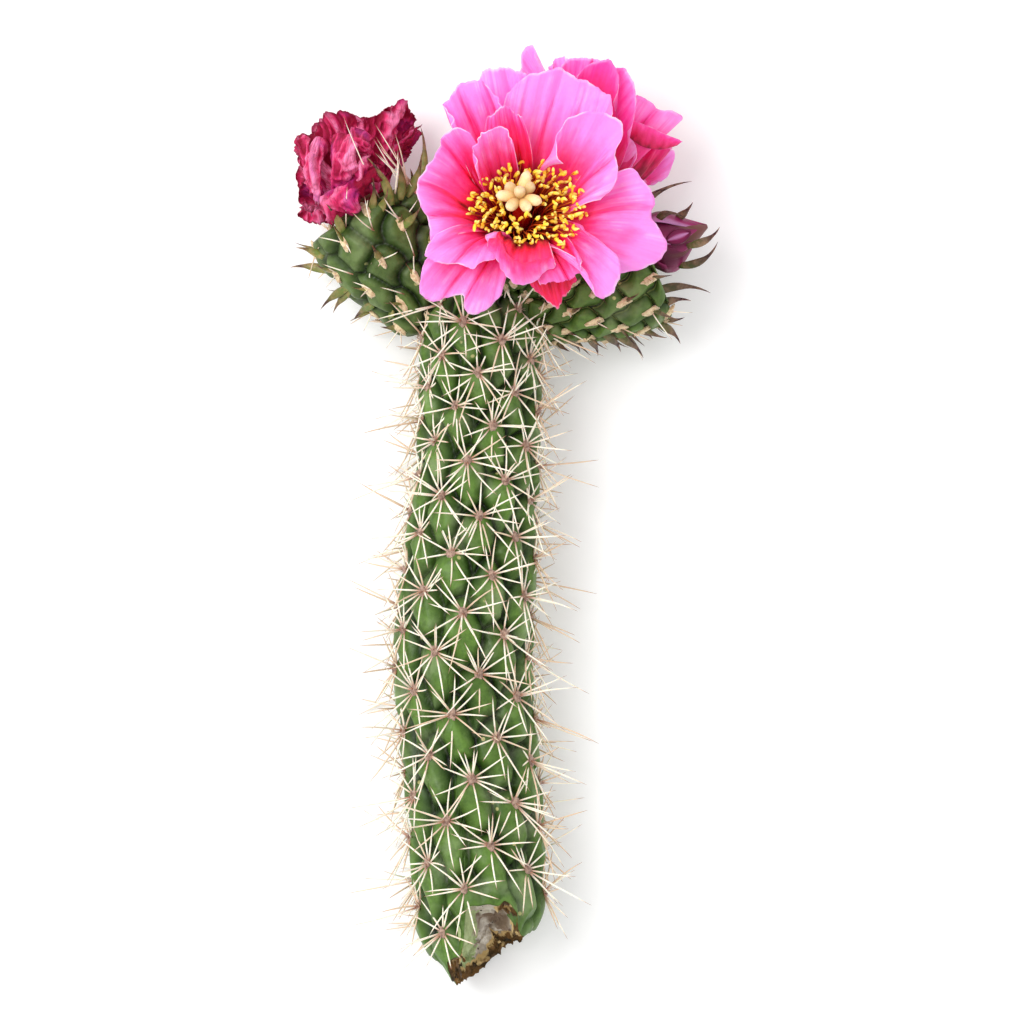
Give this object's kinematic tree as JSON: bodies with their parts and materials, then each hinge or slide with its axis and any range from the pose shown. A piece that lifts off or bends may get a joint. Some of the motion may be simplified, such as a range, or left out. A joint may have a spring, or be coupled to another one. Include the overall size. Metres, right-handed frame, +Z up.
{
  "type": "cut flowering cholla stem",
  "caption": "Cut stem of a cane cholla, lying down: a spiny green cylinder of raised tubercles with seed vessels crowded at its tip, bearing magenta flowers, a wilted flower and a bud.",
  "frame": {"origin": "on the surface that the stem lies on, under the middle of the part's outline seen from above", "axes": "+Z up, +Y along the stem from its cut end to its flowers, +X to the side where the bud is"},
  "size_m": [0.109, 0.2361, 0.0595],
  "materials": {
    "stem_skin": "waxy green skin of the stem, with cream to brown spines, woolly areoles and a pale corky pith at the torn end",
    "vessel_skin": "waxy green skin of the seed vessels, with cream areoles and fleshy scales that turn purple at their tips",
    "petals": "silky thin petals, deep red at the throat through hot pink to lilac pink at the edge, with fine veins",
    "wilted_petals": "crumpled papery petals, dark magenta to burgundy",
    "anthers": "matt golden pollen sacs on thin orange red filaments",
    "stigma": "waxy cream lobes on a glossy red style",
    "bud_tepals": "closed dark purple tepals with paler lilac folds"
  },
  "bodies": {
    "root": {"stem": "stem_skin", "vessel_left": "vessel_skin", "vessel_right": "vessel_skin", "vessel_middle": "vessel_skin", "vessel_back": "vessel_skin", "open_flower": "petals", "side_flower": "petals", "wilted_flower": "wilted_petals", "open_stamens": "anthers", "side_stamens": "anthers", "open_stigma": "stigma", "bud": "bud_tepals"}
  },
  "joints": []
}
